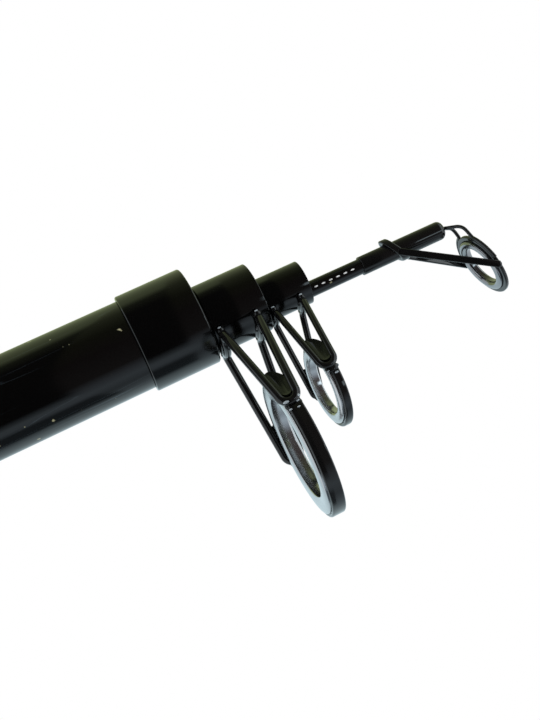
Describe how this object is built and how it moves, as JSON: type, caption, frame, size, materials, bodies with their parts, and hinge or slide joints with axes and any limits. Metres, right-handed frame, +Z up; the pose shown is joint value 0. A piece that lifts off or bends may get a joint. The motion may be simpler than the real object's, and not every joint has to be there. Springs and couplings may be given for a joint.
{
  "type": "telescopic fishing rod",
  "caption": "Collapsible telescopic fishing rod: tapered tube sections that nest in a butt with grips and a screw reel seat, wire-framed ring guides and a tip top.",
  "frame": {"origin": "on the axis of the butt, at the middle of the rear grip", "axes": "+X along the rod to the tip, +Z up with the line guides and the reel on the -Z side, +Y to the left looking along +X"},
  "size_m": [0.9176, 0.0404, 0.0815],
  "materials": {
    "blank_black": "gloss black lacquer over a wrapped fibre tube",
    "lacquer_black": "clear-coated gloss black lacquer",
    "guide_black": "gloss black coating on steel wire and strip",
    "lug_black": "dark olive-black coating on steel plate",
    "ring_ceramic": "polished grey ceramic",
    "grip_foam": "dense closed-cell foam, matt",
    "check_metal": "satin grey",
    "seat_plastic": "filled nylon, satin",
    "hood_plastic": "filled nylon, satin",
    "rubber": "matt rubber"
  },
  "bodies": {
    "butt": {"butt_tube": "blank_black", "mouth_collar": "lacquer_black", "butt_bush": "seat_plastic", "rear_grip": "grip_foam", "rear_check": "check_metal", "seat_barrel": "seat_plastic", "fixed_hood": "hood_plastic", "fore_grip": "grip_foam", "fore_check": "check_metal"},
    "hood": {"sliding_hood": "hood_plastic"},
    "nut": {"lock_nut": "hood_plastic"},
    "plug": {"butt_plug": "seat_plastic", "plug_pad": "rubber", "rest_pad": "rubber"},
    "section_2": {"section_2_blank": "blank_black", "guide_1_sleeve": "lacquer_black", "guide_1_wire": "guide_black", "guide_1_lug_near": "lug_black", "guide_1_lug_far": "lug_black", "guide_1_band": "guide_black", "guide_1_insert": "ring_ceramic"},
    "section_3": {"section_3_blank": "blank_black", "guide_2_sleeve": "lacquer_black", "guide_2_wire": "guide_black", "guide_2_lug_near": "lug_black", "guide_2_lug_far": "lug_black", "guide_2_band": "guide_black", "guide_2_insert": "ring_ceramic"},
    "tip": {"tip_blank": "blank_black", "tip_top_tube": "guide_black", "tip_top_strips": "guide_black", "tip_top_wires": "guide_black", "tip_band": "guide_black", "tip_insert": "ring_ceramic"}
  },
  "joints": [
    {"name": "section_2_slide", "type": "slide", "parent": "butt", "child": "section_2", "axis": [1, 0, 0], "range_m": [0, 0.696]},
    {"name": "section_3_slide", "type": "slide", "parent": "section_2", "child": "section_3", "axis": [1, 0, -0.003], "range_m": [0, 0.7001]},
    {"name": "tip_slide", "type": "slide", "parent": "section_3", "child": "tip", "axis": [1, 0, -0.0053], "range_m": [0, 0.7011]},
    {"name": "hood_slide", "type": "slide", "parent": "butt", "child": "hood", "axis": [1, 0, 0], "range_m": [-0.022, 0]},
    {"name": "nut_turn", "type": "hinge", "parent": "hood", "child": "nut", "pos_m": [0.1983, 0, 0], "axis": [1, 0, 0], "range_deg": [-3960, 0]},
    {"name": "plug_pull", "type": "slide", "parent": "butt", "child": "plug", "axis": [-1, 0, 0], "range_m": [0, 0.072]}
  ],
  "couplings": [
    {"joint": "hood_slide", "follows": "nut_turn", "m_per_rad": 0.00031831}
  ]
}
